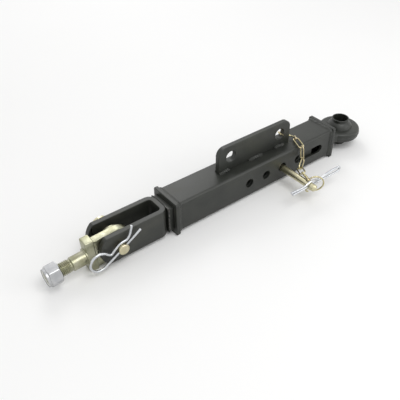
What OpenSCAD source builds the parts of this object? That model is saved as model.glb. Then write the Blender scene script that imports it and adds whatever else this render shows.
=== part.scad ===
// Lower link stabilizer: a square tube with a telescoping bar, a clevis with a
// knuckle stud at one end and a ball joint at the other.
// The origin is on the axis of the ball's bore, level with the tube's centre line. The link runs along X, with the
// clevis towards -X, the bore stands along Z and the near side faces -Y.

/* [Outer tube] */
// Outside width and height of the square tube
tube_w = 50; // [49:0.5:54]
// Wall of the square tube
tube_wall = 4; // [3.5:0.25:4.5]
// Outside corner radius of the tube
tube_corner_r = 4.5; // [3:0.5:6]
// Inside corner radius of the tube
tube_bore_r = 1.5; // [1:0.25:2]
// Length over the two end plates
body_len = 328; // [322:1:350]
// How far the end plates stand out past the tube
plate_lip = 3; // [2:0.25:5]
// Thickness of the end plates
plate_t = 6; // [4:0.5:8]
// Corner radius of the end plates
plate_corner_r = 3; // [1:0.5:5]
// Reach of the plate welds along the tube
weld_run = 5.5; // [3:0.5:8]
// Rise of the plate welds, short of the plate's edge by this much
weld_shy = 0.4; // [0.2:0.1:1]

/* [Locking holes] */
// Diameter of the locking holes and width of the slot
hole_d = 14.7; // [13:0.1:16]
// Distance from hole to hole
hole_pitch = 35; // [32:0.5:36]
// First hole in the tube, from the outer face of the clevis end plate
hole_first = 140; // [136:1:146]
// Number of round holes in each side of the tube
hole_count = 3; // [2:1:3]
// Length of the slot between its end centres
slot_travel = 48.6; // [40:0.2:52]

/* [Inner bar] */
// Clearance between bar and tube, on each side
bar_gap = 1; // [0.5:0.1:1.5]
// Corner radius of the bar
bar_corner_r = 1.5; // [1:0.25:2]
// How far the bar reaches in from the outer face of the clevis end plate
bar_insert = 282; // [276:1:288]
// Clearance between the bar and the guide hole of the end plate, on each side
guide_gap = 0.5; // [0.3:0.1:1]

/* [Clevis] */
// Thickness of the clevis strap
strap_t = 8; // [6:0.5:10]
// Height of the clevis strap
strap_h = 45; // [44:0.5:50]
// Gap between the two cheeks
fork_gap = 28; // [26:0.5:32]
// Inside radius of the two bends
bend_in_r = 5; // [3:0.5:8]
// Gap between the clevis and the end plate when the bar is home
fork_standoff = 8.5; // [5:0.25:10]
// Distance from the back of the clevis to its pin
pin_reach = 79.5; // [74:0.5:88]
// Radius of the cheek ends about the pin
cheek_r = 30; // [26:0.5:31]
// Width of the weld bead round the bar
fork_bead = 2.2; // [1.5:0.1:2.4]
// Reach of that bead along the bar
fork_weld_run = 2.5; // [1.5:0.25:3.5]

/* [Clevis pin] */
// Diameter of the clevis pin
pin_d = 16; // [14:0.5:18]
// Radial clearance of the pin in the cheeks and in the stud's eye
pin_fit = 0.1; // [0.05:0.01:0.2]
// Length of the pin past the outside of the near cheek
pin_past = 10; // [9:0.5:14]
// Free play between the pin's head and the far cheek
pin_play = 9.5; // [4:0.5:12]
// Diameter of the pin's head
pin_head_d = 27; // [24:0.5:30]
// Thickness of the pin's head
pin_head_t = 6; // [4:0.5:8]
// Distance of the clip hole from the near cheek
clip_stand = 5; // [4:0.25:6]

/* [Knuckle stud] */
// Thickness of the eye
eye_t = 11; // [9:0.5:13]
// Radius of the round end of the eye
eye_r = 23; // [20:0.5:25]
// Radius of the boss on the eye's far side
boss_r = 18; // [15:0.5:20]
// How far the boss stands out from the eye
boss_t = 8; // [4:0.5:12]
// Clearance between the eye and the near cheek
eye_gap = 0.3; // [0.2:0.05:1]
// Thickness of the square block behind the eye
block_t = 17; // [13:0.5:19]
// Height of the block
block_h = 52; // [46:0.5:54]
// How far the block's middle lies off the eye's, away from the near side
block_off = 2; // [0:0.25:3]
// Distance from the pin to the block
block_from = 33; // [32:0.5:36]
// Length of the block
block_len = 13; // [10:0.5:16]
// Diameter of the thin collar on the block
collar_d = 25; // [22:0.5:30]
// Thickness of the thin collar
collar_t = 1.5; // [1:0.25:3]
// Diameter of the smooth shank
shank_d = 20; // [19.5:0.25:22]
// Length of the smooth shank
shank_len = 20; // [16:0.5:26]
// Diameter of the thread
thread_d = 19; // [18:0.25:19.25]
// Pitch of the thread
thread_pitch = 2.5; // [2:0.25:3]
// Number of thread turns
thread_turns = 13; // [12:1:15]
// How far the stud droops below level, in degrees
stud_droop = 3; // [0:0.5:6]

/* [Lock nut] */
// Width of the nut across its flats
nut_af = 28; // [27:0.5:32]
// Length of the hexagon
nut_len = 16; // [14:0.5:18]
// Turn of the nut on the thread, in degrees
nut_turned = 24; // [0:1:59]
// Length of the round collar that holds the nylon ring
nut_collar = 3.5; // [3:0.25:5]
// Radial clearance of the nut on the thread
nut_fit = 0.1; // [0.05:0.01:0.15]
// How far the stud's end stays inside the nut's collar
nut_past = 1.5; // [0.5:0.25:3]

/* [Bracket] */
// Start of the bracket, from the outer face of the clevis end plate
bracket_from = 95; // [90:1:100]
// How far the bracket reaches past the locking pin, towards the ball
bracket_past = 31; // [27:1:35]
// Thickness of the bracket
bracket_t = 8; // [6:0.5:10]
// Height of the bracket above the tube
bracket_rise = 41.6; // [38:0.2:48]
// Radius of the bracket's top corners
bracket_r = 13; // [8:0.5:16]
// Diameter of the bracket's two holes
bracket_hole_d = 18; // [16:0.5:20]
// Distance between the two holes
bracket_hole_gap = 100; // [94:1:104]
// Distance of the hook's hole from the bracket's end
bracket_hole_in = 22.5; // [20:0.5:26]
// Height of the holes above the tube
bracket_hole_up = 22.5; // [20:0.5:26]
// Radius of the weld beads at the bracket's foot
bead_r = 4.2; // [3:0.2:5]
// Length of the beads near the bracket's ends
bead_len = 21; // [16:1:26]
// Length of the bead at the bracket's middle
bead_mid_len = 30; // [20:1:40]

/* [Ball end] */
// Distance from the ball's centre to the outer face of the end plate
ball_reach = 45; // [44:0.5:56]
// How far the ball's centre lies below the tube's centre line
ball_drop = 3.5; // [0:0.5:5]
// Outside diameter of the eye round the ball
ring_d = 69; // [64:0.5:76]
// Height of the eye
ring_h = 16; // [15:0.5:19]
// Edge chamfer of the eye
ring_edge = 3.5; // [2:0.25:5]
// How far the forging ridge stands out
ridge = 0.8; // [0.4:0.1:1]
// Diameter of the ball
ball_d = 46; // [42:0.5:50]
// Clearance between ball and eye
ball_fit = 0.1; // [0.05:0.01:0.2]
// Diameter of the ball's end collars
ball_collar_d = 29; // [28.5:0.5:32]
// Length of the ball over its collars
ball_len = 46; // [42:0.5:48]
// Diameter of the ball's bore
bore_d = 25.4; // [22:0.1:25.9]
// Width of the neck between eye and end plate
neck_w = 40; // [34:0.5:46]
// Bead of the neck's weld
neck_bead = 4; // [2:0.25:5]

/* [Locking pin] */
// Diameter of the locking pin
lock_d = 11; // [9.5:0.25:12.5]
// Length of the locking pin
lock_len = 75; // [70:0.5:84]
// How far the pin's tip reaches into the tube wall
lock_in = 4; // [2:0.25:4.25]
// Clearance under the pin in its hole
lock_rest = 0.1; // [0.05:0.01:0.2]
// Distance of the clip hole from the pin's end
lock_clip_in = 11; // [9:0.25:12]
// Distance of the ring hole from the pin's end
lock_ring_in = 17.7; // [17.5:0.1:18.5]
// Taper at the pin's ends
lock_taper = 2.2; // [1:0.2:3]

/* [Spring clips] */
// Wire of the clevis pin's clip
clip_wire = 3.6; // [3:0.1:3.8]
// Wire of the locking pin's clip
lock_clip_wire = 3.2; // [2.6:0.1:3.6]
// Radial clearance of a clip's leg in its hole
clip_fit = 0.15; // [0.1:0.01:0.25]
// Clearance between a clip's wave and its pin
clip_ride = 0.5; // [0.3:0.05:1.5]
// Loop radius of the clevis pin's clip
clip_loop_r = 14; // [10:0.5:15]
// Distance from the pin to that loop's centre
clip_loop_at = 33; // [31:0.5:37]
// Straight leg of that clip past the pin
clip_leg = 35; // [28:0.5:42]
// Turn of that clip in its plane, in degrees
clip_turn = 31.6; // [20:0.2:40]
// Loop radius of the locking pin's clip
lock_loop_r = 4; // [3.5:0.25:5]
// Distance from the pin to that loop's centre
lock_loop_at = 62; // [56:0.5:68]
// Straight leg of that clip past the pin
lock_leg = 38; // [32:0.5:44]
// Turn of that clip in its plane, in degrees
lock_turn = 0; // [0:0.2:8]

/* [Ring and chain] */
// Wire of the chain, its hook and the pull ring
link_wire = 2.3; // [2:0.05:2.4]
// Outside length of a chain link
link_l = 26; // [25:0.25:27]
// Outside width of a chain link
link_w = 11; // [10:0.25:12]
// Gap between touching links
link_gap = 0.2; // [0.1:0.02:0.3]
// Mean radius of the pull ring
pull_r = 13; // [12.8:0.1:14]
// Diameter of the ring's hole in the locking pin
pull_hole_d = 4; // [3.8:0.1:4.4]
// Turn of the ring away from the link, in degrees
pull_turn = 37.6; // [30:0.2:45]
// Place of the swivel round the ring, in degrees
pull_swivel_at = 144.1; // [142:0.1:146]
// Turn of the chain's first link about its own length, in degrees
chain_roll = 0.8; // [-2:0.2:4]
// Radius of the swivel's eyes
swivel_eye_r = 2.8; // [2.7:0.1:3]
// Radius of the swivel's barrel
swivel_r = 2.2; // [1.8:0.1:2.6]

/* [Hidden] */
$fn = 96;

paint = [0.16, 0.17, 0.16];
yellow_zinc = [0.80, 0.74, 0.50];
white_zinc = [0.80, 0.81, 0.82];
nylon = [0.93, 0.93, 0.90];
far = 200;

// Places along the link
plate_x = -(ball_reach + body_len);
function along(x) = plate_x + x;
bracket_len = hole_first + 2 * hole_pitch + bracket_past - bracket_from;
plate_w = tube_w + 2 * plate_lip;
weld_rise = plate_lip - weld_shy;
weld_thin = 0.5;

// Bar and clevis
bar_w = tube_w - 2 * tube_wall - 2 * bar_gap;
strap_back = plate_x - fork_standoff;
fork_w = fork_gap + 2 * strap_t;
pin_x = strap_back - pin_reach;
bar_hole_first = hole_first - hole_pitch;
bar_hole_count = hole_count + 2;

// Clevis pin and its clip
pin_near = -(fork_w / 2 + pin_past);
pin_head_y = fork_w / 2 + pin_play;
clip_y = -(fork_w / 2 + clip_stand);
clip_wave = pin_d / 2 + clip_wire / 2 + clip_ride;

// Stud, measured away from the pin along its own axis
eye_y = -(fork_gap / 2 - eye_gap - eye_t / 2);
collar_at = block_from + block_len;
shank_at = collar_at + collar_t;
groove_at = shank_at + shank_len;
groove_len = 1.6;
thread_at = groove_at + groove_len;
thread_end = thread_at + thread_turns * thread_pitch;
thread_depth = 0.61 * thread_pitch;
stud_end = thread_end + thread_depth;
nut_at = stud_end + nut_past - nut_collar - nut_len;
nylon_wall = 1.2;

// Locking pin
near_face = -tube_w / 2;
lock_x = along(hole_first + 2 * hole_pitch);
lock_z = -(hole_d / 2 - lock_d / 2 - lock_rest);
lock_tip = near_face + lock_in;
lock_end = lock_tip - lock_len;
lock_clip_y = lock_end + lock_clip_in;
lock_ring_y = lock_end + lock_ring_in;
lock_wave = lock_d / 2 + lock_clip_wire / 2 + clip_ride;

// Ring: a plane that stands on the pin's vertical ring hole
pull_side = [cos(pull_turn), -sin(pull_turn), 0];
pull_sag = pull_r - sqrt(pull_r * pull_r - lock_d * lock_d / 4);
pull_centre = [lock_x, lock_ring_y, lock_z] + (pull_r - pull_sag / 2) * pull_side;
function on_pull(a) = pull_centre + pull_r * (cos(a) * pull_side + sin(a) * [0, 0, 1]);

// Chain: the pull directions of its links, from the hook down to the swivel
chain_pulls = [[-5.69, -18.94, -3.01], [0.11, -2.9, -19.79], [-16.89, -10.0, -3.82], [-10.36, -16.42, 4.82]];
link_pitch = link_l - link_wire;
link_turn_r = (link_w - link_wire) / 2;
touch = link_wire + link_gap;
hook_hole = [along(bracket_from + bracket_len - bracket_hole_in), 0, tube_w / 2 + bracket_hole_up];
hook_end = [along(bracket_from + bracket_len) + 9.4, -8.8, tube_w / 2 + 4.6];

// Vector and curve helpers
function unit(v) = v / norm(v);
function arc(c, r, a0, a1, n) = [for (i = [0 : n]) let (a = a0 + (a1 - a0) * i / n) c + r * [cos(a), sin(a)]];
function blend4(a, b, c, d, t) =
    0.5 * (2 * b + (c - a) * t + (2 * a - 5 * b + 4 * c - d) * t * t + (3 * b - a - 3 * c + d) * t * t * t);
function smooth(p, n) = concat(
    [for (i = [0 : len(p) - 2]) for (j = [0 : n - 1])
        blend4(p[max(i - 1, 0)], p[i], p[i + 1], p[min(i + 2, len(p) - 1)], j / n)],
    [p[len(p) - 1]]);
function heading(p, i, closed) = let (m = len(p))
    closed ? unit(p[(i + 1) % m] - p[(i + m - 1) % m])
           : unit(p[min(i + 1, m - 1)] - p[max(i - 1, 0)]);
function wire_ring(p, i, r, n, b, closed) =
    let (t = heading(p, i, closed), s = unit(cross(b, t)), u = cross(t, s))
    [for (k = [0 : n - 1]) p[i] + r * (cos(360 * k / n) * s + sin(360 * k / n) * u)];

// Round wire of diameter d along the points p; b is any direction that p never follows
module wire(p, d, b, n = 12, closed = false) {
    m = len(p);
    rings = [for (i = [0 : m - 1]) each wire_ring(p, i, d / 2, n, b, closed)];
    sides = [for (i = [0 : (closed ? m - 1 : m - 2)]) for (k = [0 : n - 1])
        let (j = (i + 1) % m, l = (k + 1) % n) [i * n + k, j * n + k, j * n + l, i * n + l]];
    ends = closed ? [] : [[for (k = [0 : n - 1]) k], [for (k = [0 : n - 1]) m * n - 1 - k]];
    polyhedron(rings, concat(sides, ends), convexity = 6);
}

// Square with exact round corners
module round_square(w, h, r) {
    square([w - 2 * r, h], center = true);
    square([w, h - 2 * r], center = true);
    for (x = [-1, 1], y = [-1, 1])
        translate([x * (w / 2 - r), y * (h / 2 - r)]) circle(r);
}

// Round-cornered block along +X from x
module bar_along(x, length, w, h, r) {
    translate([x, 0, 0]) rotate([90, 0, 90]) linear_extrude(length) round_square(w, h, r);
}

// Cross holes along Y
module cross_hole(x, d) {
    translate([x, 0, 0]) rotate([90, 0, 0]) cylinder(h = far, d = d, center = true);
}

// Fillet weld round a bar: its foot stands at x and it thins out over the run
module weld_round(x, run, w, h, r, rise) {
    foot_w = w + 2 * rise;
    foot_h = h + 2 * rise;
    thin_w = w + 2 * weld_thin;
    thin_h = h + 2 * weld_thin;
    difference() {
        translate([x, 0, 0]) intersection() {
            linear_extrude(far, center = true)
                polygon([[0, -foot_w / 2], [run, -thin_w / 2], [run, thin_w / 2], [0, foot_w / 2]]);
            rotate([90, 0, 0]) linear_extrude(far, center = true)
                polygon([[0, -foot_h / 2], [run, -thin_h / 2], [run, thin_h / 2], [0, foot_h / 2]]);
        }
        translate([-1, 0, 0]) bar_along(min(x, x + run), abs(run) + 2, w, h, r);
    }
}

module outer_tube() color(paint) difference() {
    bar_along(along(plate_t), body_len - 2 * plate_t, tube_w, tube_w, tube_corner_r);
    bar_along(along(0), body_len, tube_w - 2 * tube_wall, tube_w - 2 * tube_wall, tube_bore_r);
    for (i = [0 : hole_count - 1])
        cross_hole(along(hole_first + i * hole_pitch), hole_d);
    slot_from = along(hole_first + hole_count * hole_pitch);
    cross_hole(slot_from, hole_d);
    cross_hole(slot_from + slot_travel, hole_d);
    translate([slot_from, -far / 2, -hole_d / 2]) cube([slot_travel, far, hole_d]);
}

module end_plate(x) {
    bar_along(x, plate_t, plate_w, plate_w, plate_corner_r);
}

module clevis_end_plate() color(paint) difference() {
    end_plate(along(0));
    guide_w = bar_w + 2 * guide_gap;
    bar_along(along(-1), plate_t + 2, guide_w, guide_w, bar_corner_r);
}

module ball_end_plate() color(paint) end_plate(along(body_len - plate_t));

module clevis_end_weld() color(paint)
    weld_round(along(plate_t), weld_run, tube_w, tube_w, tube_corner_r, weld_rise);

module ball_end_weld() color(paint)
    weld_round(along(body_len - plate_t), -weld_run, tube_w, tube_w, tube_corner_r, weld_rise);

module bracket_outline() {
    square([bracket_len, bracket_rise - bracket_r]);
    translate([bracket_r, 0]) square([bracket_len - 2 * bracket_r, bracket_rise]);
    for (x = [bracket_r, bracket_len - bracket_r])
        translate([x, bracket_rise - bracket_r]) circle(bracket_r);
}

module bracket_plate() color(paint) difference() {
    translate([along(bracket_from), 0, tube_w / 2]) rotate([90, 0, 0])
        linear_extrude(bracket_t, center = true) bracket_outline();
    for (i = [0, 1])
        translate(hook_hole - [i * bracket_hole_gap, 0, 0])
            rotate([90, 0, 0]) cylinder(h = far, d = bracket_hole_d, center = true);
}

// One bead at the bracket's foot, from x0 to x1 along the bracket, on side s
module bracket_bead(x0, x1, s) {
    intersection() {
        translate([along(bracket_from), s * bracket_t / 2, tube_w / 2]) {
            translate([x0 + bead_r, 0, 0]) sphere(bead_r);
            translate([x1 - bead_r, 0, 0]) sphere(bead_r);
            translate([x0 + bead_r, 0, 0]) rotate([0, 90, 0]) cylinder(h = x1 - x0 - 2 * bead_r, r = bead_r);
        }
        translate([along(bracket_from), s > 0 ? bracket_t / 2 : -bracket_t / 2 - far, tube_w / 2])
            cube([bracket_len, far, far]);
    }
}

module bracket_welds() color(paint)
    for (s = [-1, 1]) {
        bracket_bead(0, bead_len, s);
        bracket_bead((bracket_len - bead_mid_len) / 2, (bracket_len + bead_mid_len) / 2, s);
        bracket_bead(bracket_len - bracket_hole_in - bead_len / 2, bracket_len - bracket_hole_in + bead_len / 2, s);
    }

module ball_eye() color(paint) translate([0, 0, -ball_drop]) difference() {
    r = ring_d / 2;
    union() {
        rotate_extrude() polygon([[0, -ring_h / 2], [r - ring_edge, -ring_h / 2], [r, -ring_h / 2 + ring_edge],
            [r, -1.5 * ridge], [r + ridge, -ridge / 2], [r + ridge, ridge / 2], [r, 1.5 * ridge],
            [r, ring_h / 2 - ring_edge], [r - ring_edge, ring_h / 2], [0, ring_h / 2]]);
        bar_along(-ball_reach, ball_reach, neck_w, ring_h, ring_edge);
    }
    sphere(ball_d / 2 + ball_fit);
}

module ball_eye_weld() color(paint) translate([0, 0, -ball_drop])
    weld_round(-ball_reach, neck_bead, neck_w, ring_h, ring_edge, neck_bead * 0.8);

module swivel_ball() color(paint) translate([0, 0, -ball_drop]) difference() {
    union() {
        sphere(ball_d / 2);
        cylinder(h = ball_len, d = ball_collar_d, center = true);
    }
    cylinder(h = far, d = bore_d, center = true);
}

module inner_bar() color(paint) difference() {
    bar_along(strap_back, bar_insert + fork_standoff, bar_w, bar_w, bar_corner_r);
    for (i = [0 : bar_hole_count - 1])
        cross_hole(along(bar_hole_first + i * hole_pitch), hole_d);
}

// Plan of a strap bent into a U with its back at x, as a filled shape
module u_plan(x, w, r) {
    reach = pin_reach + cheek_r;
    translate([x - reach, -w / 2]) square([reach - r, w]);
    translate([x - reach, -w / 2 + r]) square([reach, w - 2 * r]);
    for (y = [-1, 1])
        translate([x - r, y * (w / 2 - r)]) circle(r);
}

module cheek_side() {
    translate([pin_x, -strap_h / 2]) square([pin_reach, strap_h]);
    intersection() {
        translate([pin_x, 0]) circle(cheek_r);
        translate([pin_x, 0]) square([2 * cheek_r, strap_h], center = true);
    }
}

module clevis_strap() color(paint) difference() {
    intersection() {
        linear_extrude(strap_h + 1, center = true) difference() {
            u_plan(strap_back, fork_w, bend_in_r + strap_t);
            translate([-strap_t, 0]) u_plan(strap_back, fork_gap, bend_in_r);
        }
        rotate([90, 0, 0]) linear_extrude(far, center = true) cheek_side();
    }
    cross_hole(pin_x, pin_d + 2 * pin_fit);
    translate([pin_x - far - cheek_r + 2, -fork_gap / 2, -far / 2]) cube([far, fork_gap, far]);
}

module clevis_weld() color(paint)
    weld_round(strap_back, fork_weld_run, bar_w, bar_w, bar_corner_r, fork_bead);

// The stud's own frame: the pin is at the origin and the shank runs to -X
module on_stud() {
    translate([pin_x, eye_y, 0]) rotate([0, -stud_droop, 0]) children();
}

module along_shank(d) {
    rotate([0, -90, 0]) translate([0, 0, d]) children();
}

module knuckle_stud() color(yellow_zinc) on_stud() difference() {
    r = shank_d / 2;
    t = thread_d / 2;
    teeth = [for (i = [0 : thread_turns - 1]) each
        [[t - thread_depth, thread_at + i * thread_pitch], [t, thread_at + (i + 0.5) * thread_pitch]]];
    union() {
        rotate([90, 0, 0]) linear_extrude(eye_t, center = true) {
            circle(eye_r);
            translate([-block_from - 1, -eye_r]) square([block_from + 1, 2 * eye_r]);
        }
        rotate([-90, 0, 0]) cylinder(h = eye_t / 2 + boss_t, r = boss_r);
        translate([-block_from - block_len / 2, block_off, 0]) cube([block_len, block_t, block_h], center = true);
        rotate([0, -90, 0]) rotate_extrude() polygon(concat(
            [[0, collar_at - 1], [collar_d / 2, collar_at - 1], [collar_d / 2, shank_at], [r, shank_at],
             [r, groove_at], [t - thread_depth, groove_at + 0.3]],
            teeth,
            [[t - thread_depth, thread_end], [t - 2 * thread_depth, stud_end], [0, stud_end]]));
    }
    rotate([90, 0, 0]) cylinder(h = far, d = pin_d + 2 * pin_fit, center = true);
}

module lock_nut() color(white_zinc) on_stud() along_shank(nut_at) rotate(nut_turned) {
    flat_r = nut_af / 2;
    corner_r = nut_af / sqrt(3);
    ring_r = flat_r - 1;
    difference() {
        union() {
            intersection() {
                cylinder(h = nut_len, r = corner_r, $fn = 6);
                rotate_extrude() polygon([[0, 0], [flat_r - 0.2, 0], [corner_r, 1.4],
                    [corner_r, nut_len - 1.4], [flat_r - 0.2, nut_len], [0, nut_len]]);
            }
            rotate_extrude() polygon([[0, nut_len - 1], [ring_r, nut_len - 1], [ring_r, nut_len + nut_collar - 1],
                [ring_r - 1, nut_len + nut_collar], [0, nut_len + nut_collar]]);
        }
        translate([0, 0, -1]) cylinder(h = nut_len + nut_collar + 2, r = thread_d / 2 + nut_fit);
        translate([0, 0, nut_len + 0.5]) cylinder(h = nut_collar - 1.3, r = ring_r - nylon_wall);
    }
}

module nut_insert() color(nylon) on_stud() along_shank(nut_at + nut_len + 0.5) difference() {
    cylinder(h = nut_collar - 1.3, r = nut_af / 2 - 1 - nylon_wall);
    translate([0, 0, -1]) cylinder(h = nut_collar + 2, r = thread_d / 2 + nut_fit);
}

module clevis_pin() color(yellow_zinc) difference() {
    r = pin_d / 2;
    h = pin_head_d / 2;
    translate([pin_x, 0, 0]) rotate([-90, 0, 0]) rotate_extrude() polygon([
        [0, pin_near], [r - 1, pin_near], [r, pin_near + 1], [r, pin_head_y], [h - 0.6, pin_head_y],
        [h, pin_head_y + 0.6], [h, pin_head_y + pin_head_t - 1.8], [h - 2, pin_head_y + pin_head_t],
        [0, pin_head_y + pin_head_t]]);
    translate([pin_x, clip_y, 0]) rotate([0, 90 - clip_turn, 0])
        cylinder(h = far, d = clip_wire + 2 * clip_fit, center = true);
}

// Path of a spring clip in its own plane: the straight leg lies on the first axis, with
// the pin at the origin and the loop at the minus end, and the other leg waves over the pin
function clip_path(leg, loop_at, loop_r, past, waves) =
    let (loop = arc([-loop_at, loop_r], loop_r, -90, -270 - past, 18), n = len(loop))
    concat([[leg, 0], [leg / 2, 0], [0, 0], [-loop_at / 2, 0]], loop,
        [for (q = smooth(concat([loop[n - 1]], waves), 6)) if (norm(q - loop[n - 1]) > 0.5) q]);

// Clip wire in the XZ plane through c, its straight leg turned by a
module spring_clip(path, d, c, x_axis, z_axis) {
    wire([for (q = path) c + q[0] * x_axis + q[1] * z_axis], d, cross(x_axis, z_axis));
}

clip_waves = [[-16.5, 9], [-9, clip_wave - 0.8], [0, clip_wave], [6, clip_wave - 1.4],
              [12.5, 6.4], [20.5, 9.4], [30.7, 18.2]];
lock_waves = [[-50, 8.2], [-35, 6.6], [-20, 4], [-9, lock_wave - 1.2], [0, lock_wave],
              [6, lock_wave - 1.6], [13, 4.2], [24, 4.2], [42, 5.5]];

module clevis_pin_clip() color(white_zinc)
    spring_clip(clip_path(clip_leg, clip_loop_at, clip_loop_r, 72, clip_waves), clip_wire, [pin_x, clip_y, 0],
        [cos(clip_turn), 0, sin(clip_turn)], [-sin(clip_turn), 0, cos(clip_turn)]);

module locking_pin() color(yellow_zinc) difference() {
    r = lock_d / 2;
    translate([lock_x, 0, lock_z]) rotate([-90, 0, 0]) rotate_extrude() polygon([
        [0, lock_end], [r - lock_taper, lock_end], [r, lock_end + lock_taper],
        [r, lock_tip - lock_taper], [r - lock_taper, lock_tip], [0, lock_tip]]);
    translate([lock_x, lock_ring_y, lock_z]) cylinder(h = far, d = pull_hole_d, center = true);
    translate([lock_x, lock_clip_y, lock_z]) rotate([0, 90 - lock_turn, 0])
        cylinder(h = far, d = lock_clip_wire + 2 * clip_fit, center = true);
}

module locking_pin_clip() color(white_zinc)
    spring_clip(clip_path(lock_leg, lock_loop_at, lock_loop_r, 12, lock_waves), lock_clip_wire,
        [lock_x, lock_clip_y, lock_z],
        [-cos(lock_turn), 0, -sin(lock_turn)], [-sin(lock_turn), 0, cos(lock_turn)]);

// The ring's wire starts below the pin, goes up through it and all the way round,
// and ends in a small outward curl beside its start
module pull_ring() color(yellow_zinc) {
    turn = [for (i = [0 : 40]) on_pull(214 - 343 * i / 40)];
    curl_r = 2.7;
    out = unit(on_pull(-129) - pull_centre);
    on = unit(on_pull(-131) - on_pull(-127));
    curl_c = on_pull(-129) + curl_r * out;
    curl = [for (i = [1 : 9]) curl_c + curl_r * (-cos(28 * i) * out + sin(28 * i) * on)];
    wire(concat(turn, curl), link_wire, cross(pull_side, [0, 0, 1]));
}

// Chain: the end wire of each link crosses that of the one before, one wire away
function link_pull(i) = unit(chain_pulls[i]);
function level_across(a) = unit(cross(a, [0, 0, 1]));
function link_across(i) = i > 0 ? unit(cross(link_pull(i), link_across(i - 1)))
    : cos(chain_roll) * level_across(link_pull(0)) + sin(chain_roll) * cross(link_pull(0), level_across(link_pull(0)));
function link_step(i) = let (n = unit(cross(link_across(i - 1), link_across(i))))
    (n * (link_pull(i - 1) + link_pull(i)) > 0 ? 1 : -1) * n;
function link_start(i) = i == 0 ? hook_end : link_start(i - 1) + link_pitch * link_pull(i - 1) - touch * link_step(i);
function link_stop(i) = link_start(i) + link_pitch * link_pull(i);

module chain_link(i) color(yellow_zinc) {
    a = link_pull(i);
    w = link_across(i);
    c = (link_start(i) + link_stop(i)) / 2;
    run = link_pitch / 2 - link_turn_r;
    outline = concat(arc([run, 0], link_turn_r, -90, 90, 10), arc([-run, 0], link_turn_r, 90, 270, 10));
    wire([for (q = outline) c + q[0] * a + q[1] * w], link_wire, cross(a, w), closed = true);
}

module chain_link_1() chain_link(0);
module chain_link_2() chain_link(1);
module chain_link_3() chain_link(2);
module chain_link_4() chain_link(3);

// Swivel between the last link and the ring: a barrel with an eye at each end
module chain_swivel() color(yellow_zinc) {
    from = link_stop(3);
    to = on_pull(pull_swivel_at);
    t = unit(to - from);
    inset = swivel_eye_r - link_wire / 2 - link_wire / 2 - link_gap;
    last_wire = link_across(3);
    ring_wire = unit(on_pull(pull_swivel_at + 2) - on_pull(pull_swivel_at - 2));
    eye_a = from + inset * t;
    eye_b = to - inset * t;
    swivel_eye(eye_a, t, last_wire);
    swivel_eye(eye_b, t, ring_wire);
    wire([eye_a + (swivel_eye_r + 0.2) * t, eye_b - (swivel_eye_r + 0.2) * t], 2 * swivel_r, last_wire, n = 16);
}

module swivel_eye(c, t, through) {
    side = unit(cross(through, t));
    wire([for (i = [0 : 23]) c + swivel_eye_r * (cos(15 * i) * t + sin(15 * i) * side)], link_wire,
        cross(t, side), closed = true);
}

// Hook: it hangs in the bracket's hole, runs behind the bracket and holds the first link
module chain_hook() color(yellow_zinc) {
    a = link_pull(0);
    seat_r = bracket_hole_d / 2 - link_wire / 2 - link_gap / 2;
    seat = hook_hole + seat_r * [cos(30), 0, -sin(30)];
    clear = bracket_t / 2 + link_wire / 2 + link_gap;
    eye_r = 2.9;
    eye_c = hook_end - (eye_r - touch) * a;
    up = cross(link_across(0), a);
    end_x = along(bracket_from + bracket_len);
    route = [hook_hole + [-4, -clear - 3.6, 4], hook_hole + [2.5, -clear - 1.6, 0], seat + [-0.5, -clear, 0.3],
        seat, seat + [0, clear, 0], seat + [4, clear + 1.4, -1.9],
        [end_x - 4, clear + 1, hook_end[2] + 5.8], [end_x + 3, clear - 0.4, hook_end[2] + 2.4],
        [end_x + 8.6, 0.6, hook_end[2] + 0.8], eye_c - eye_r * a];
    eye = [for (i = [1 : 15]) eye_c + eye_r * (-cos(21 * i) * a + sin(21 * i) * up)];
    wire(concat(smooth(route, 4), eye), link_wire, link_across(0));
}

outer_tube();
clevis_end_plate();
ball_end_plate();
clevis_end_weld();
ball_end_weld();
bracket_plate();
bracket_welds();
ball_eye();
ball_eye_weld();
swivel_ball();
inner_bar();
clevis_strap();
clevis_weld();
knuckle_stud();
lock_nut();
nut_insert();
clevis_pin();
clevis_pin_clip();
locking_pin();
locking_pin_clip();
pull_ring();
chain_swivel();
chain_hook();
chain_link_1();
chain_link_2();
chain_link_3();
chain_link_4();
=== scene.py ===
"""A lower link stabilizer on a pale studio floor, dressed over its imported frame.

The frame is in metres, and places along the part are worked out in millimetres. The origin is
on the axis of the ball's bore, level with the tube's centre line. The link runs along X with its
clevis towards -X, the bore stands along Z and the near side faces -Y.
"""

import bmesh
import bpy
import numpy as np
from mathutils import Matrix, Vector


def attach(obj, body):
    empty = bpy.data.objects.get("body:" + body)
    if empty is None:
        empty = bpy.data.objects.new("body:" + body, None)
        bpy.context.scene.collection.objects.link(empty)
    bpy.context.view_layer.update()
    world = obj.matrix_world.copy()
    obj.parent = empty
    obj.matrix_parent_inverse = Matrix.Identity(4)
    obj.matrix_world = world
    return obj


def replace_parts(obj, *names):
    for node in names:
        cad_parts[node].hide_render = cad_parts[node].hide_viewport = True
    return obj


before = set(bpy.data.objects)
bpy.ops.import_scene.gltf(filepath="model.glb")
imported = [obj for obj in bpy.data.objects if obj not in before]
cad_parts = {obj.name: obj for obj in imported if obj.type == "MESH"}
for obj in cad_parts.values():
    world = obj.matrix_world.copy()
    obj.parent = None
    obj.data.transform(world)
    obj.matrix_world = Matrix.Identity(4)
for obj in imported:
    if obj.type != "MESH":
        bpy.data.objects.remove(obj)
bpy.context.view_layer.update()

MM = 0.001
TAU = 2 * np.pi

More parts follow.
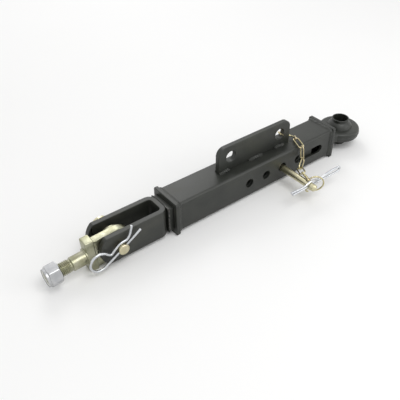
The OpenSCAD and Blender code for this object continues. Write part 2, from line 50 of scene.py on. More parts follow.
# Places shared with the construction model, in millimetres
PLATE_X = -373.0
STRAP_BACK = -381.5
PIN_X = -461.0
EYE_Y = -8.2
CLIP_Y = -27.0
TUBE_W = 50.0
BAR_W = 40.0
BALL_PLATE_IN, BALL_PLATE_OUT = -51.0, -45.0
BALL_DROP = 3.5
SEAT_R = 23.1
EYE_R = 34.5
EYE_H = 16.0
NECK_W = 40.0
NECK_EDGE = 3.5
NUT_START = 85.1
THREAD_PITCH = 2.5
BRACKET_START, BRACKET_END = -278.0, -132.0
BRACKET_HALF = 4.0
BRACKET_HOLE_R = 9.0
LOCK = np.array([-163.0, -85.0, -1.75])
RING_HOLE = np.array([-163.0, -78.3, -1.75])
STUD_DROOP = np.radians(3.0)
NUT_TURNED = np.radians(24.0)


# Vectors and curves

def unit(v):
    """Each vector divided by its own length."""
    v = np.asarray(v, float)
    return v / np.linalg.norm(v, axis=-1, keepdims=True)


def arc(centre, radius, start, stop, steps):
    """Points on a flat circle from one angle to another, in degrees."""
    a = np.radians(np.linspace(start, stop, steps + 1))
    return np.asarray(centre, float) + radius * np.stack([np.cos(a), np.sin(a)], -1)


def smooth(points, steps):
    """A Catmull-Rom curve: each span is a cubic whose end slopes are half the chord between
    the neighbours of its end points."""
    p = np.asarray(points, float)
    padded = np.concatenate([p[:1], p, p[-1:]])
    t = (np.arange(steps) / steps)[None, :, None]
    a, b, c, d = (padded[i:len(p) - 1 + i][:, None, :] for i in range(4))
    curve = 0.5 * (2 * b + (c - a) * t + (2 * a - 5 * b + 4 * c - d) * t ** 2
                   + (3 * b - a - 3 * c + d) * t ** 3)
    return np.concatenate([curve.reshape(-1, p.shape[1]), p[-1:]])


def on_plane(flat, origin, first, second):
    """Flat points carried into space: origin plus each coordinate times its own axis."""
    flat = np.asarray(flat, float)
    return np.asarray(origin) + flat[:, :1] * np.asarray(first) + flat[:, 1:2] * np.asarray(second)


def ripples(along, spacing, seed):
    """Weld ripples from 0 to 1: half a sine for each solidified pool, whose spacing drifts
    with two slow waves."""
    pools = along / spacing
    drift = 0.35 * np.sin(pools * 0.63 + seed) + 0.25 * np.sin(pools * 0.27 + 2 * seed)
    return np.abs(np.sin(np.pi * (pools + drift)))


def lumps(along, around, seed):
    """Slow unevenness of a hand-laid bead: a product of sines along and around it."""
    return (np.sin(along * 0.31 + seed) * np.cos(around * 2 + seed)
            + 0.6 * np.sin(along * 0.83 + 3 * seed) * np.cos(around * 3 - seed)) / 1.6


# Meshes

def mesh_piece(name, vertices, faces, body, slot, material):
    """One mesh object in metres from vertices in millimetres, riding on its body."""
    mesh = bpy.data.meshes.new(name)
    mesh.from_pydata((np.asarray(vertices) * MM).tolist(), [], faces)
    mesh.update()
    piece = bpy.data.objects.new(name, mesh)
    bpy.context.scene.collection.objects.link(piece)
    mesh.materials.append(material)
    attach(piece, body)
    return piece


def volume(vertices, quads):
    """Signed volume of a closed shell: a sixth of the sum of each triangle's triple product."""
    a, b, c, d = (vertices[quads[:, i]] for i in range(4))
    halves = [np.einsum("ij,ij->i", a, np.cross(*pair)) for pair in ((b, c), (c, d))]
    return (halves[0] + halves[1]).sum() / 6


def shell(grid, along=False):
    """Vertices and faces of a grid of points whose rows run along the piece and whose columns
    close around it. Rows may close on themselves too, and otherwise each end gets a cap. The
    faces are turned over where the enclosed volume comes out negative."""
    grid = np.asarray(grid, float)
    rows, cols = grid.shape[:2]
    index = np.arange(rows * cols).reshape(rows, cols)
    here = index if along else index[:-1]
    down = np.roll(index, -1, 0) if along else index[1:]
    quads = np.stack([here, np.roll(here, -1, 1), np.roll(down, -1, 1), down], -1).reshape(-1, 4)
    vertices = grid.reshape(-1, 3)
    turned_over = volume(vertices - vertices.mean(0), quads) < 0
    if turned_over:
        quads = quads[:, ::-1]
    faces = quads.tolist()
    if not along:
        first, last = index[0].tolist(), index[-1].tolist()
        faces += [first, last[::-1]] if turned_over else [first[::-1], last]
    return vertices, faces


def joined(shells):
    """Several shells as one list of vertices and one of faces."""
    vertices, faces, offset = [], [], 0
    for part_vertices, part_faces in shells:
        vertices.append(part_vertices)
        faces += [[i + offset for i in face] for face in part_faces]
        offset += len(part_vertices)
    return np.concatenate(vertices), faces


def smooth_by_angle(piece, degrees=35):
    """Smooth shading, with the edges sharper than an angle kept sharp."""
    mesh = piece.data
    mesh.polygons.foreach_set("use_smooth", np.ones(len(mesh.polygons), bool))
    mesh.set_sharp_from_angle(angle=np.radians(degrees))
    return piece


def wire(points, thickness, across, closed=False, sides=20):
    """Round wire: a circle carried along the points. Across is a direction that the wire never
    follows, and the circle's axes are the cross products of it and the heading. Open ends are
    rounded by shrinking the last circles along a quarter turn."""
    p = np.asarray(points, float)
    if closed:
        heading = unit(np.roll(p, -1, 0) - np.roll(p, 1, 0))
    else:
        heading = unit(np.concatenate([p[1:2] - p[:1], p[2:] - p[:-2], p[-1:] - p[-2:-1]]))
    radius = np.full(len(p), thickness / 2)
    if not closed:
        turn = np.radians([12, 30, 50, 72])
        reach, shrink = 0.3 * thickness * (1 - np.sin(turn)), np.cos(turn[::-1])
        start = p[0] + heading[0] * reach[::-1][:, None]
        end = p[-1] - heading[-1] * reach[:, None]
        p = np.concatenate([start, p[1:-1], end])
        first, last = np.repeat(heading[:1], 4, 0), np.repeat(heading[-1:], 4, 0)
        heading = np.concatenate([first, heading[1:-1], last])
        narrowed = thickness / 2 * (0.45 + 0.55 * shrink)
        radius = np.concatenate([narrowed, radius[1:-1], narrowed[::-1]])
    side = unit(np.cross(across, heading))
    rise = np.cross(heading, side)
    a = np.arange(sides) / sides * TAU
    ring = np.cos(a)[None, :, None] * side[:, None] + np.sin(a)[None, :, None] * rise[:, None]
    return shell(p[:, None] + radius[:, None, None] * ring, along=closed)


def turned(stations, radius, origin, axis, up, steps=96, hollow=False):
    """Turned shape: at each station along the axis the radius may change with the angle, which
    is measured from the direction called up. A hollow profile closes on itself."""
    a = np.arange(steps) / steps * TAU
    axis, up = unit(axis), unit(up)
    side = np.cross(axis, up)
    r = np.asarray(radius, float)
    if r.ndim == 1:
        r = np.repeat(r[:, None], steps, 1)
    place = np.asarray(stations, float)[:, None, None]
    points = (np.asarray(origin, float) + place * axis
              + r[..., None] * (np.cos(a)[None, :, None] * up + np.sin(a)[None, :, None] * side))
    return shell(points, along=hollow)


def inset(outline, distance):
    """A flat closed outline moved inwards by a distance along its own normals."""
    heading = unit(np.roll(outline, -1, 0) - np.roll(outline, 1, 0))
    return outline + distance * np.stack([-heading[:, 1], heading[:, 0]], -1)


def slab(outer, inner, low, high, edge, place):
    """Plate with a hole: its section, a rounded rectangle, is carried once round the plate.
    Outer and inner are matching outlines, counter-clockwise. Place puts flat points and
    heights in space."""
    turn = np.radians(np.linspace(0, 90, 5))
    out_in, out_up = edge * (1 - np.cos(turn)), edge * np.sin(turn)
    rows, heights = [], []
    for depth, rise in zip(out_in, out_up):
        rows.append(inset(outer, depth))
        heights.append(high - edge + rise)
    for depth, rise in zip(out_in[::-1], out_up[::-1]):
        rows.append(inset(inner, -depth))
        heights.append(high - edge + rise)
    for depth, rise in zip(out_in, out_up):
        rows.append(inset(inner, -depth))
        heights.append(low + edge - rise)
    for depth, rise in zip(out_in[::-1], out_up[::-1]):
        rows.append(inset(outer, depth))
        heights.append(low + edge - rise)
    grid = np.stack([place(flat, height) for flat, height in zip(rows, heights)])
    return shell(grid, along=True)


def rounded_outline(width, height, corner, steps=14, straight=24):
    """Counter-clockwise outline of a rectangle with round corners, its straights cut into
    equal steps."""
    parts = []
    for i, (sx, sy) in enumerate([(1, -1), (1, 1), (-1, 1), (-1, -1)]):
        centre = [sx * (width / 2 - corner), sy * (height / 2 - corner)]
        parts.append(arc(centre, corner, -90 + 90 * i, 90 * i, steps))
    outline = []
    for i, bend in enumerate(parts):
        after = parts[(i + 1) % 4][0]
        t = (np.arange(1, straight) / straight)[:, None]
        outline += [bend, bend[-1] + (after - bend[-1]) * t]
    return np.concatenate(outline)


def weld_bead(outline, place, run, rise, seed, spacing=2.6, sides=10):
    """Fillet weld round an outline: a bulged triangle in the corner between a wall and a
    plate, swelled and dipped by ripples and lumps along the seam."""
    step = np.linalg.norm(np.roll(outline, -1, 0) - outline, axis=1)
    along = np.concatenate([[0], np.cumsum(step)[:-1]])
    normal = inset(outline, -1.0) - outline
    wave = 0.80 + 0.14 * ripples(along, spacing, seed)
    t = np.linspace(0, 1, sides)
    bulge = np.sin(np.pi * t) * 0.10
    grid = []
    for u, swell in zip(t, bulge):
        lump = 1 + 0.10 * lumps(along, u * 3.0, seed)
        out = rise * ((1 - u) + swell) * wave * lump
        back = run * (u + swell) * wave * (1 + 0.12 * lumps(along, 1.7 + u, seed + 2))
        grid.append(place(outline + normal * (out + 0.05)[:, None], back))
    grid.append(place(outline - normal * 0.4, run * 0.5 * np.ones(len(outline))))
    grid.append(place(outline - normal * 0.4, np.zeros(len(outline))))
    return shell(np.stack(grid), along=True)


def dressed(node, body, material, edge):
    """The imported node's own shape with its edges broken: a copy, merged at its seams, its flat
    parts joined, and a small round bevel along every sharp edge."""
    merge, flat_angle, sharp_angle = 0.02, 0.4, 32
    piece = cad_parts[node].copy()
    piece.data = piece.data.copy()
    for key in list(piece.keys()):
        del piece[key]
    piece.name = node + "_shaped"
    bpy.context.scene.collection.objects.link(piece)
    piece.parent = None
    mesh = piece.data
    work = bmesh.new()
    work.from_mesh(mesh)
    bmesh.ops.remove_doubles(work, verts=work.verts, dist=merge * MM)
    bmesh.ops.dissolve_limit(work, angle_limit=np.radians(flat_angle), verts=work.verts,
                             edges=work.edges)
    work.to_mesh(mesh)
    work.free()
    mesh.materials.clear()
    mesh.materials.append(material)
    bevel = piece.modifiers.new("broken_edge", "BEVEL")
    bevel.width = edge * MM
    bevel.segments = 3
    bevel.limit_method = "ANGLE"
    bevel.angle_limit = np.radians(sharp_angle)
    bevel.use_clamp_overlap = False
    smooth_by_angle(piece, sharp_angle)
    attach(piece, body)
    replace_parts(piece, node)


# Shader maths

class Value:
    """A shader socket whose operators add Math nodes."""

    def __init__(self, finish, socket):
        self.finish, self.socket = finish, socket

    def maths(self, operation, *others):
        return self.finish.node("ShaderNodeMath", {"operation": operation}, [self, *others])

    def __add__(self, other):
        return self.maths("ADD", other)

    def __rsub__(self, other):
        return self.finish.node("ShaderNodeMath", {"operation": "SUBTRACT"}, [other, self])

    def __mul__(self, other):
        return self.maths("MULTIPLY", other)

    __radd__, __rmul__ = __add__, __mul__

    def over(self, low, high):
        """0 below low, 1 above high and a straight rise between."""
        inputs = {"Value": self, "From Min": low, "From Max": high}
        return self.finish.node("ShaderNodeMapRange", {"clamp": True}, inputs)


class Finish:
    """One material and the nodes that make it."""

    def __init__(self, name):
        self.material = bpy.data.materials.new(name)
        self.material.use_nodes = True
        self.tree = self.material.node_tree
        self.shader = self.tree.nodes["Principled BSDF"]
        self.place = self.node("ShaderNodeTexCoord", out="Object")

    def node(self, kind, settings=None, inputs=None, out=0):
        """A node of a type, with its settings first, then its sockets' values or links."""
        made = self.tree.nodes.new(kind)
        for key, value in (settings or {}).items():
            setattr(made, key, value)
        pairs = inputs.items() if isinstance(inputs, dict) else enumerate(inputs or [])
        for key, value in pairs:
            if isinstance(value, Value):
                self.tree.links.new(value.socket, made.inputs[key])
            else:
                made.inputs[key].default_value = value
        return Value(self, made.outputs[out])

    def noise(self, scale, detail, rough, warp=0.0, place=None):
        """Noise from 0 to 1 with features of about 1/scale metres."""
        inputs = {"Vector": place or self.place, "Scale": scale, "Detail": detail, "Roughness": rough,
                  "Distortion": warp}
        return self.node("ShaderNodeTexNoise", None, inputs)

    def stretched(self, factors):
        """Object coordinates scaled differently along each axis."""
        return self.node("ShaderNodeVectorMath", {"operation": "MULTIPLY"}, [self.place, factors])

    def mixed(self, factor, first, second):
        """A colour between two others."""
        first, second = (c if isinstance(c, Value) else (*c, 1) for c in (first, second))
        inputs = {0: factor, 6: first, 7: second}
        return self.node("ShaderNodeMix", {"data_type": "RGBA"}, inputs, out=2)

    def edges(self, reach):
        """1 along edges and 0 on flats: how far a normal rounded over a small reach turns from
        the true one."""
        rounded = self.node("ShaderNodeBevel", {"samples": 4}, {"Radius": reach})
        true = self.node("ShaderNodeNewGeometry", out="Normal")
        settings = {"operation": "DOT_PRODUCT"}
        same = self.node("ShaderNodeVectorMath", settings, [rounded, true], out="Value")
        return (1 - same).over(0.02, 0.25)

    def set(self, **sockets):
        """Puts values or links on the shader's sockets."""
        for key, value in sockets.items():
            socket = self.shader.inputs[key.replace("_", " ")]
            if isinstance(value, Value):
                self.tree.links.new(value.socket, socket)
            else:
                socket.default_value = (*value, 1) if isinstance(value, tuple) else value

    def bump(self, height, relief_mm, strength):
        """Small relief from a height field."""
        inputs = {"Height": height, "Distance": relief_mm * MM, "Strength": strength}
        normal = self.node("ShaderNodeBump", None, inputs)
        self.tree.links.new(normal.socket, self.shader.inputs["Normal"])


# Materials

def black_paint(name, spatter=0.0):
    """Satin black paint over steel: a cloudy coat with orange peel, thin and dusty in places,
    and a painted highlight that makes it paler along edges."""
    f = Finish(name)
    cloud = f.noise(26, 4, 0.6, 0.4)
    streak = f.noise(9, 5, 0.65, 0.2, f.stretched((0.6, 2.2, 2.2)))
    speck = f.noise(900, 2, 0.5)
    peel = f.noise(1500, 2, 0.5)
    dust = streak.over(0.52, 0.74) * cloud.over(0.35, 0.7)
    # painted highlight: this edge mask lightens the coat towards pale grey along every edge, patchy
    # with the cloud
    edge = f.edges(0.0009) * cloud.over(0.30, 0.62)
    coat = f.mixed(cloud.over(0.3, 0.75), (0.012, 0.0138, 0.0112), (0.027, 0.0296, 0.0238))
    coat = f.mixed(dust * 0.55, coat, (0.070, 0.067, 0.052))
    coat = f.mixed(speck.over(0.66, 0.74) * 0.35, coat, (0.09, 0.09, 0.08))
    coat = f.mixed(edge * 0.45, coat, (0.16, 0.16, 0.145))
    f.set(Base_Color=coat, Roughness=0.30 + cloud * 0.16 + dust * 0.12 + streak * 0.06)
    relief = peel * 0.35 + f.noise(260, 3, 0.5) * 0.65
    if spatter:
        relief = relief + f.noise(420, 4, 0.7, 0.6) * spatter
    f.bump(relief, 0.6 if spatter else 0.16, 0.55)
    return f.material


def zinc(name, base, tint, iris, rough, relief_mm=0.07, turned_along=None):
    """Zinc plate: metal with a cloudy passivate whose tint drifts, fine scratches and a soft
    gloss. Pieces turned along an axis keep the marks of the tool."""
    f = Finish(name)
    cloud = f.noise(70, 4, 0.6, 0.6)
    drift = f.noise(38, 3, 0.5, 1.2)
    scratch = f.noise(900, 3, 0.6, 0.0, f.stretched((0.25, 1.0, 1.0)))
    colour = f.mixed(cloud.over(0.3, 0.7), base, tint)
    colour = f.mixed(drift.over(0.52, 0.76) * 0.6, colour, iris)
    colour = f.mixed(scratch.over(0.64, 0.8) * 0.3, colour, tuple(0.5 * c for c in base))
    gloss = cloud * 0.14 + rough + scratch.over(0.4, 0.8) * 0.08
    f.set(Base_Color=colour, Metallic=1.0, Roughness=gloss)
    relief = f.noise(600, 3, 0.5) * 0.6 + scratch * 0.4
    if turned_along:
        settings = {"wave_type": "BANDS", "bands_direction": turned_along}
        inputs = {"Vector": f.place, "Scale": 420.0, "Distortion": 1.5, "Detail": 2.0,
                  "Detail Scale": 3.0}
        relief = relief + f.node("ShaderNodeTexWave", settings, inputs, out="Fac") * 0.5
    f.bump(relief, relief_mm, 0.6)
    return f.material


def bare_weld(name):
    """Bright weld metal with dark slag specks and loose black paint."""
    f = Finish(name)
    cloud = f.noise(240, 4, 0.65, 0.5)
    coat = f.noise(48, 3, 0.6, 0.4)
    painted = coat.over(0.46, 0.54)
    metal = f.mixed(cloud.over(0.35, 0.7), (0.62, 0.61, 0.58), (0.22, 0.21, 0.20))
    f.set(Base_Color=f.mixed(painted, metal, (0.022, 0.023, 0.021)), Metallic=1 - painted,
          Roughness=0.34 + cloud * 0.2)
    f.bump(cloud * 0.7 + f.noise(900, 2, 0.5) * 0.3, 0.4, 0.8)
    return f.material


def nylon(name):
    """Natural nylon: milky, slightly cloudy and dull."""
    f = Finish(name)
    cloud = f.noise(160, 3, 0.6)
    milky = f.mixed(cloud, (0.80, 0.80, 0.74), (0.90, 0.90, 0.86))
    f.set(Base_Color=milky, Roughness=0.42 + cloud * 0.16)
    f.bump(f.noise(1200, 2, 0.5), 0.06, 0.5)
    return f.material


paint = black_paint("satin_black_paint")
weld_paint = black_paint("painted_weld", spatter=1.2)
yellow_plate = zinc("yellow_zinc_forged", (0.44, 0.43, 0.335), (0.25, 0.245, 0.15),
                    (0.34, 0.36, 0.25), rough=0.22)
yellow_turned = zinc("yellow_zinc_turned", (0.66, 0.62, 0.44), (0.52, 0.49, 0.31),
                     (0.58, 0.47, 0.38), rough=0.20, relief_mm=0.025, turned_along="Y")
yellow_wire = zinc("yellow_zinc_wire", (0.60, 0.54, 0.34), (0.44, 0.40, 0.22),
                   (0.50, 0.40, 0.32), rough=0.2)
silver_wire = zinc("spring_wire", (0.66, 0.67, 0.68), (0.50, 0.52, 0.55),
                   (0.42, 0.43, 0.44), rough=0.18)
silver_nut = zinc("silver_zinc", (0.52, 0.525, 0.53), (0.38, 0.385, 0.40),
                  (0.30, 0.31, 0.32), rough=0.26)
bright_weld = bare_weld("bright_weld")
white_nylon = nylon("white_nylon")


# Tube with its plates, bracket and bar

for node, body, edge in (("outer_tube", "tube", 0.35), ("inner_bar", "bar", 0.5),
                         ("clevis_end_plate", "tube", 0.9), ("ball_end_plate", "tube", 0.9),
                         ("bracket_plate", "tube", 0.9), ("clevis_strap", "bar", 0.9),
                         ("swivel_ball", "ball", 0.5)):
    dressed(node, body, paint, edge)
for node in ("clevis_pin", "locking_pin"):
    dressed(node, node, yellow_turned, 0.35)


def seam_place(at, towards, height=0.0):
    """Puts a bead's flat outline across the link at a place along it, and its reach along X."""
    def place(flat, reach):
        reach = np.broadcast_to(reach, len(flat))
        return np.stack([at + towards * reach, flat[:, 0], flat[:, 1] + height], -1)
    return place


tube_outline = rounded_outline(TUBE_W, TUBE_W, 4.5, 8, 40)
for weld_name, at, towards, seed in (("clevis_end_weld", PLATE_X + 6, 1, 0.4),
                                     ("ball_end_weld", BALL_PLATE_IN, -1, 2.1)):
    bead = weld_bead(tube_outline, seam_place(at, towards), 5.5, 2.6, seed)
    piece = mesh_piece(weld_name + "_bead", *bead, "tube", "black_paint", weld_paint)
    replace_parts(smooth_by_angle(piece, 60), weld_name)

bar_outline = rounded_outline(BAR_W, BAR_W, 1.5, 6, 30)
bead = weld_bead(bar_outline, seam_place(STRAP_BACK, 1), 2.5, 2.2, 1.3, 2.2)
piece = mesh_piece("clevis_weld_bead", *bead, "bar", "bare_weld", bright_weld)
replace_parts(smooth_by_angle(piece, 60), "clevis_weld")

neck_outline = rounded_outline(NECK_W, EYE_H, NECK_EDGE, 8, 26)
bead = weld_bead(neck_outline, seam_place(BALL_PLATE_OUT, 1, -BALL_DROP), 4.2, 3.2, 0.9, 2.4)
piece = mesh_piece("ball_eye_weld_bead", *bead, "tube", "black_paint", weld_paint)
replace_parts(smooth_by_angle(piece, 60), "ball_eye_weld")


def foot_bead(start, stop, side, seed, radius=4.2):
    """Bead along the bracket's foot: a quarter round whose size rises from nothing, ripples
    along its length in uneven lumps and dies away, laid in the corner between bracket and tube."""
    length_steps, round_steps = 90, 10
    along = np.linspace(start, stop, length_steps)
    u = (along - start) / (stop - start)
    size = radius * (1 - (2 * u - 1) ** 6) ** 0.5 * (0.76 + 0.24 * ripples(along, 3.1, seed)) + 0.02
    a = np.radians(np.linspace(0, 90, round_steps))
    lump = 1 + 0.10 * lumps(along[:, None], a[None, :] * 3, seed)
    sunk = np.ones((length_steps, 1))
    out = BRACKET_HALF + np.concatenate([size[:, None] * np.cos(a) * lump, -0.5 * sunk], 1)
    up = TUBE_W / 2 + np.concatenate([size[:, None] * np.sin(a) * lump, -0.3 * sunk], 1)
    x = np.repeat(along[:, None], round_steps + 1, 1) + BRACKET_START
    return shell(np.stack([x, side * out, up], -1))


beads = [foot_bead(start, stop, side, seed) for side in (-1, 1)
         for start, stop, seed in ((0.2, 21, 0.3), (58, 88, 1.1), (113, 134, 2.3))]
piece = mesh_piece("bracket_foot_beads", *joined(beads), "tube", "black_paint", weld_paint)
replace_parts(smooth_by_angle(piece, 60), "bracket_welds")


# Ball end

def ball_eye():
    """Forged eye: a ring whose section is a rounded block with a parting ridge outside and the
    ball's seat inside, turned about Z, and a neck carried from the plate into the ring."""
    seat = np.radians(np.linspace(-20.2, 20.2, 15))
    inner_r, inner_z = SEAT_R * np.cos(seat), SEAT_R * np.sin(seat)
    turn = np.radians(np.linspace(0, 90, 9))
    top, bend = EYE_H / 2, 4
    flank_r, flank_z = EYE_R - bend + bend * np.cos(turn), top - bend + bend * np.sin(turn)
    ridge_r = EYE_R + np.array([0.0, 0.12, 0.65, 0.8, 0.8, 0.65, 0.12, 0.0])
    ridge_z = np.array([1.6, 1.1, 0.75, 0.4, -0.4, -0.75, -1.1, -1.6])
    r = np.concatenate([inner_r, [22.3, 23.4], flank_r[::-1], ridge_r, flank_r, [23.4, 22.3]])
    z = np.concatenate([inner_z, [top - 0.02, top], flank_z[::-1], ridge_z, -flank_z,
                        [-top, 0.02 - top]])
    ring = turned(z, r, [0, 0, -BALL_DROP], [0, 0, 1], [1, 0, 0], 160, hollow=True)
    outline = rounded_outline(NECK_W, EYE_H, NECK_EDGE, 10, 30)
    x = np.linspace(BALL_PLATE_OUT, -26, 14)
    flare = (x - x[0]) / (x[-1] - x[0])
    width = 1 + 0.06 * flare ** 2
    height = 1 - 0.12 * np.sin(np.pi * flare)
    across, rise = outline[None, :, 0] * width[:, None], outline[None, :, 1] * height[:, None]
    grid = np.stack([np.repeat(x[:, None], len(outline), 1), across, rise - BALL_DROP], -1)
    return joined([ring, shell(grid)])


piece = mesh_piece("ball_eye_forging", *ball_eye(), "tube", "black_paint", paint)
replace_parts(smooth_by_angle(piece, 40), "ball_eye")


# Knuckle stud and its nut

STUD_AXIS = np.array([-np.cos(STUD_DROOP), 0, -np.sin(STUD_DROOP)])
STUD_UP = np.array([-np.sin(STUD_DROOP), 0, np.cos(STUD_DROOP)])
STUD_PIN = np.array([PIN_X, EYE_Y, 0.0])


def stud_place(flat, height):
    """The stud's own frame: first coordinate away from the shank, second up, height along Y."""
    return (STUD_PIN - flat[:, :1] * STUD_AXIS + flat[:, 1:2] * STUD_UP
            + np.array([0, 1, 0]) * np.broadcast_to(height, len(flat))[:, None])


def tongue():
    """Flat eye: a half round about the pin that runs on straight to the block, with a round
    hole. Both outlines are polar functions of one angle about the pin."""
    round_r, run, tiny = 23.0, 34.0, 1e-6
    corners = np.pi + np.array([-1, 1]) * np.arctan2(round_r, run)
    a = np.sort(np.concatenate([np.arange(160) / 160 * TAU, corners]))
    end, side = np.maximum(-np.cos(a), tiny), np.maximum(np.abs(np.sin(a)), tiny)
    reach = np.where(np.cos(a) > 0, round_r, np.minimum(run / end, round_r / side))
    ray = np.stack([np.cos(a), np.sin(a)], -1)
    return slab(ray * reach[:, None], ray * 8.1, -5.5, 5.5, 0.8, stud_place)


def block():
    """Square block behind the eye: every direction of a ball is pushed out to the nearest
    corner of a smaller box, which rounds the edges."""
    half, radius = np.array([6.5, 8.5, 26.0]), 1.6
    lat = np.radians(np.concatenate([-np.linspace(88, 2, 8), np.linspace(2, 88, 8)]))
    lon = np.radians((np.linspace(2, 88, 8)[None] + 90 * np.arange(4)[:, None]).ravel())
    ball = np.stack([np.cos(lat)[:, None] * np.cos(lon), np.cos(lat)[:, None] * np.sin(lon),
                     np.sin(lat)[:, None] + 0 * lon], -1)
    local = np.sign(ball) * (half - radius) + radius * ball
    flat = np.stack([-39.5 + local[..., 0].ravel(), local[..., 2].ravel()], -1)
    return shell(stud_place(flat, 2 + local[..., 1].ravel()).reshape(ball.shape))


def boss():
    """Round boss on the eye's far side: a hollow turned ring with rounded rims."""
    y = np.array([5.0, 12.9, 13.4, 13.5, 13.5, 13.5, 13.3, 12.6, 5.0])
    r = np.array([8.15, 8.15, 8.3, 8.7, 12.0, 17.2, 17.8, 18.0, 18.0])
    return turned(y, r, STUD_PIN, [0, 1, 0], STUD_UP, 96, hollow=True)


def shank():
    """Turned shank: collar, plain length, groove and a helical thread, whose radius is a
    triangle wave of the place along the axis less the angle's share of the pitch."""
    depth, thread_r, steps = 1.15, 9.5, 96
    thread_from, thread_to, turns = 69.1, 101.6, 13
    angle = np.arange(steps) / steps
    plain_x = np.array([45.5, 45.7, 46.0, 46.3, 47.2, 47.45, 47.5, 47.55, 48.2, 66.6, 67.2, 67.5,
                        67.9, 68.6])
    plain_r = np.array([12.0, 12.4, 12.5, 12.5, 12.5, 12.3, 11.9, 10.1, 10.0, 10.0, 9.9, 9.5,
                        8.3, 8.1])
    x = np.linspace(thread_from, thread_to, turns * 14 + 1)
    phase = (x[:, None] - THREAD_PITCH * angle[None]) / THREAD_PITCH % 1
    tooth = np.clip((1 - np.abs(2 * phase - 1)) * 1.25 - 0.12, 0, 1)
    fade = np.clip((x - thread_from) / 2.5, 0, 1) * np.clip((thread_to - x) / 1.6, 0, 1)
    thread = thread_r - depth * (1 - tooth * fade[:, None])
    tip_x, tip_r = np.array([101.9, 102.6, 103.0, 103.12]), np.array([8.3, 7.7, 7.0, 6.2])
    stations = np.concatenate([plain_x, x, tip_x])
    plain, tip = (np.repeat(part[:, None], steps, 1) for part in (plain_r, tip_r))
    radius = np.concatenate([plain, thread, tip])
    return turned(stations, radius, STUD_PIN, STUD_AXIS, STUD_UP, steps)


stud = joined([tongue(), boss(), block(), shank()])
piece = mesh_piece("knuckle_stud_body", *stud, "stud", "yellow_zinc", yellow_plate)
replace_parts(smooth_by_angle(piece, 40), "knuckle_stud")


def hexagon(angle, flats):
    """Distance to a hexagon's side at an angle, with a corner at angle 0."""
    from_flat = (angle + np.pi / 6) % (np.pi / 3) - np.pi / 6
    return flats / 2 / np.cos(np.pi / 6 - np.abs(from_flat))


def lock_nut():
    """Nut: the smaller of a hexagon and a chamfer's cone at each angle and station, then a
    round collar rolled over the nylon ring, and a bore with thread grooves."""
    steps = 192
    angle = np.arange(steps) / steps * TAU
    hexed = hexagon(angle - NUT_TURNED, 28.0)
    hexed = hexed - 0.5 * np.clip((hexed - 15.6) / 0.6, 0, 1) ** 2
    x = np.concatenate([[0.0, 0.25, 0.6, 1.0, 1.5, 2.2], np.linspace(3, 13.5, 8),
                        [14.2, 14.8, 15.3, 15.7, 16.0]])
    cone = np.minimum(13.7 + (x + 0.02) * 1.75, 13.7 + (16.02 - x) * 1.75)
    hex_r = np.minimum(hexed[None], cone[:, None])
    collar_x = np.array([16.05, 16.3, 17.0, 18.2, 18.9, 19.25, 19.45, 19.5, 19.45, 19.2])
    collar_r = np.array([13.1, 12.9, 12.9, 12.9, 12.8, 12.5, 12.1, 11.8, 11.65, 11.6])
    bore_x = np.concatenate([[16.6], np.linspace(16.5, 1.2, 140), [0.6, 0.2, 0.0]])
    groove = 9.75 - 0.14 * np.cos(TAU * bore_x[1:-3] / THREAD_PITCH)
    bore_r = np.concatenate([[11.6], groove, [10.1, 10.5, 10.7]])
    stations = NUT_START + np.concatenate([x, collar_x, bore_x])
    radius = np.concatenate([hex_r] + [np.repeat(r[:, None], steps, 1) for r in (collar_r, bore_r)])
    return turned(stations, radius, STUD_PIN, STUD_AXIS, STUD_UP, steps, hollow=True)


def nylon_ring():
    """Locking ring: a rounded square section turned about the stud."""
    x = NUT_START + np.array([16.7, 16.7, 16.9, 18.2, 18.6, 18.7, 18.7, 18.6, 18.2, 16.9])
    r = np.array([9.8, 11.4, 11.5, 11.5, 11.4, 11.2, 10.0, 9.8, 9.62, 9.62])
    return turned(x, r, STUD_PIN, STUD_AXIS, STUD_UP, 96, hollow=True)


piece = mesh_piece("lock_nut_body", *lock_nut(), "nut", "white_zinc", silver_nut)
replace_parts(smooth_by_angle(piece, 28), "lock_nut")
piece = mesh_piece("nylon_ring", *nylon_ring(), "nut", "nylon", white_nylon)
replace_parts(smooth_by_angle(piece, 40), "nut_insert")


# Spring clips

def clip_path(leg, loop_at, loop_r, past, waves):
    """Spring clip in its own plane: a straight leg through the pin, a loop, and a leg that
    waves over the pin."""
    loop = arc([-loop_at, loop_r], loop_r, -90, -270 - past, 54)
    wave = smooth(np.concatenate([loop[-1:], waves]), 14)
    wave = wave[np.linalg.norm(wave - loop[-1], axis=1) > 0.5]
    straight = np.stack([np.linspace(leg, -loop_at, 30)[:-1], np.zeros(29)], -1)
    return np.concatenate([straight, loop, wave])


def spring_clip(path, thickness, centre, turn, flip):
    """Clip wire in the vertical plane through a point, its straight leg turned by an angle."""
    first = np.array([flip * np.cos(turn), 0, flip * np.sin(turn)])
    second = np.array([-np.sin(turn), 0, np.cos(turn)])
    return wire(on_plane(path, centre, first, second), thickness, np.cross(first, second), sides=24)


wave_top = 10.3
path = clip_path(35, 33, 14, 72, [[-16.5, 9], [-9, wave_top - 0.8], [0, wave_top], [6, wave_top - 1.4],
                                  [12.5, 6.4], [20.5, 9.4], [30.7, 18.2]])
clip = spring_clip(path, 3.6, [PIN_X, CLIP_Y, 0], np.radians(31.6), 1)
piece = mesh_piece("clevis_pin_clip_wire", *clip, "clevis_clip", "white_zinc", silver_wire)
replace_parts(smooth_by_angle(piece, 60), "clevis_pin_clip")

wave_top = 7.6
path = clip_path(38, 62, 4, 12, [[-50, 8.2], [-35, 6.6], [-20, 4], [-9, wave_top - 1.2], [0, wave_top],
                                 [6, wave_top - 1.6], [13, 4.2], [24, 4.2], [42, 5.5]])
clip = spring_clip(path, 3.2, LOCK, 0.0, -1)
piece = mesh_piece("locking_pin_clip_wire", *clip, "locking_clip", "white_zinc", silver_wire)
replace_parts(smooth_by_angle(piece, 60), "locking_pin_clip")


# Pull ring, hook and chain

